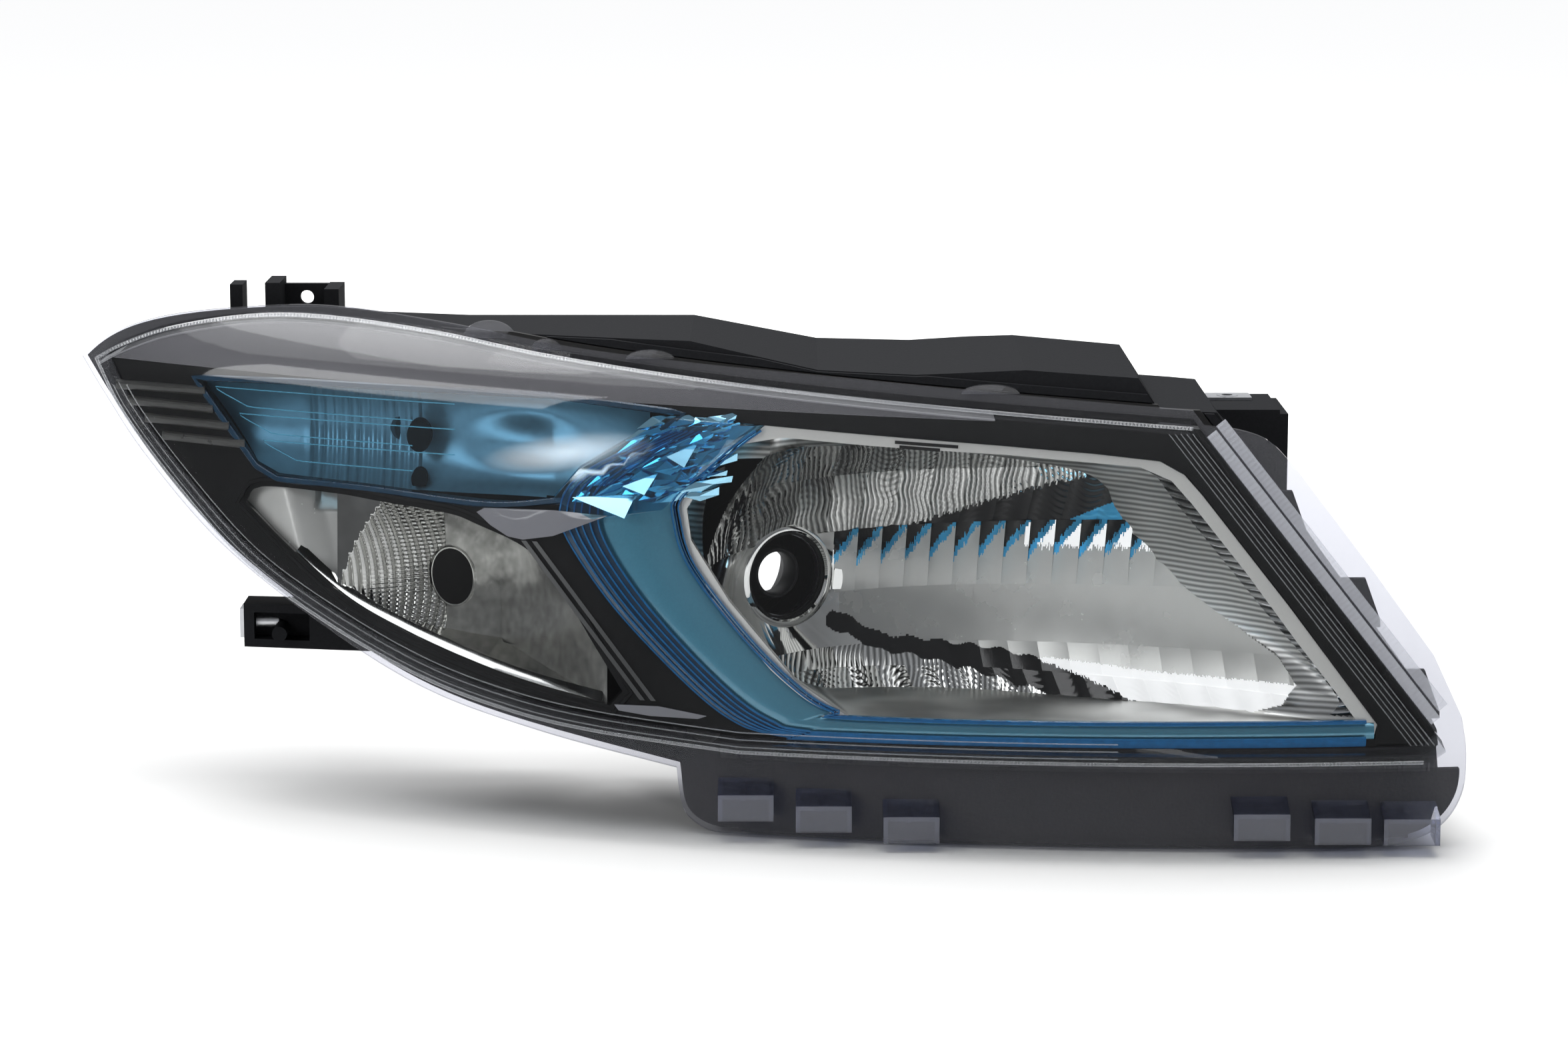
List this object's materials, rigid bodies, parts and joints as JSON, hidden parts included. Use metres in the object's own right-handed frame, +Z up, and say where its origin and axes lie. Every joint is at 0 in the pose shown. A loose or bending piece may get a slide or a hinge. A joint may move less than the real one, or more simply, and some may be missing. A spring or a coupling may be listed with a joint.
{
  "type": "car headlight assembly",
  "caption": "Long swept car headlight with a clear lens, black bezel, blue accent, chrome main and turn reflectors, aim adjusters, bulb holders and mounting brackets.",
  "frame": {"origin": "centre of the main bulb's seat", "axes": "+X along the lamp from its outer tip to its grille end, +Y back into the car, +Z up as it stands"},
  "size_m": [0.6443, 0.253, 0.2355],
  "materials": {
    "clear_lens": "clear polycarbonate, glossy",
    "black_housing": "satin moulded plastic",
    "seal_black": "soft butyl seal",
    "gloss_black": "high-gloss black",
    "blue_trim": "metallic teal blue, glossy",
    "blue_lens": "transparent blue, glossy",
    "satin_silver": "satin silver paint",
    "mirror_coat": "vacuum-metallised mirror",
    "nylon_white": "natural nylon",
    "steel": "plated steel",
    "grey_plastic": "moulded plastic",
    "boot_rubber": "soft rubber"
  },
  "bodies": {
    "lamp_body": {"housing": "black_housing", "housing_inner_end": "black_housing", "bulb_access": "black_housing", "lens": "clear_lens", "lens_seal": "seal_black", "bezel": "gloss_black", "accent_trim": "blue_trim", "position_lens": "blue_lens", "beam_frame": "satin_silver", "position_reflector": "mirror_coat", "turn_reflector": "mirror_coat", "turn_side_trim": "mirror_coat", "bezel_strips": "mirror_coat", "pivot_stud": "steel", "level_motor": "grey_plastic", "side_bush": "grey_plastic", "top_clip_nut": "steel", "side_insert": "steel", "vent_caps": "seal_black"},
    "pivot_yoke": {"pivot_ball": "steel"},
    "main_reflector_unit": {"main_reflector": "mirror_coat", "pivot_socket": "nylon_white", "level_socket": "nylon_white", "side_socket": "nylon_white", "bulb_seat_ring": "steel", "seat_ring_screws": "steel"},
    "bulb_clip_wire": {"bulb_clip": "steel"},
    "boot": {"rubber_boot": "boot_rubber"},
    "turn_holder": {"turn_bulb_holder": "grey_plastic", "turn_holder_seal": "seal_black"},
    "position_holder": {"position_bulb_holder": "grey_plastic", "position_holder_seal": "seal_black"},
    "level_push_rod": {"level_rod": "nylon_white"},
    "vertical_knob": {"vertical_adjuster": "nylon_white"},
    "side_push_rod": {"side_rod": "nylon_white"},
    "side_knob": {"side_adjuster": "nylon_white"}
  },
  "joints": [
    {"name": "aim_yaw", "type": "hinge", "parent": "lamp_body", "child": "pivot_yoke", "pos_m": [-0.03625, -0.00615, 0.052], "axis": [0, 0, 1], "range_deg": [-2, 2]},
    {"name": "aim_tilt", "type": "hinge", "parent": "pivot_yoke", "child": "main_reflector_unit", "pos_m": [-0.03625, -0.00615, 0.052], "axis": [0.848, 0.5299, 0], "range_deg": [-2, 2]},
    {"name": "level_rod_slide", "type": "slide", "parent": "lamp_body", "child": "level_push_rod", "axis": [-0.5299, 0.848, 0], "range_m": [-0.004, 0.004]},
    {"name": "vertical_adjuster_spin", "type": "hinge", "parent": "lamp_body", "child": "vertical_knob", "pos_m": [-0.06063, 0.03287, -0.05], "axis": [-0.5299, 0.848, 0], "range_deg": [-300, 300]},
    {"name": "side_rod_slide", "type": "slide", "parent": "lamp_body", "child": "side_push_rod", "axis": [-0.5299, 0.848, 0], "range_m": [-0.004, 0.004]},
    {"name": "side_adjuster_spin", "type": "hinge", "parent": "lamp_body", "child": "side_knob", "pos_m": [0.01251, 0.06678, 0.052], "axis": [-0.5299, 0.848, 0], "range_deg": [-240, 240]},
    {"name": "bulb_clip_swing", "type": "hinge", "parent": "main_reflector_unit", "child": "bulb_clip_wire", "pos_m": [-0.02396, -0.01073, 0], "axis": [0, 0, 1], "range_deg": [0, 20]},
    {"name": "boot_pull", "type": "slide", "parent": "lamp_body", "child": "boot", "axis": [-0.5299, 0.848, 0], "range_m": [0, 0.07]},
    {"name": "turn_holder_twist", "type": "hinge", "parent": "lamp_body", "child": "turn_holder", "pos_m": [-0.19315, 0.07706, -0.004], "axis": [-0.5299, 0.848, 0], "range_deg": [0, 45]},
    {"name": "position_holder_twist", "type": "hinge", "parent": "lamp_body", "child": "position_holder", "pos_m": [-0.21345, 0.07754, 0.067], "axis": [-0.5299, 0.848, 0], "range_deg": [0, 45]}
  ],
  "couplings": [
    {"joint": "level_rod_slide", "follows": "aim_tilt", "m_per_rad": 0.102},
    {"joint": "vertical_adjuster_spin", "follows": "aim_tilt", "ratio": 106.81},
    {"joint": "side_rod_slide", "follows": "aim_yaw", "m_per_rad": 0.08},
    {"joint": "side_adjuster_spin", "follows": "aim_yaw", "ratio": 83.776}
  ]
}
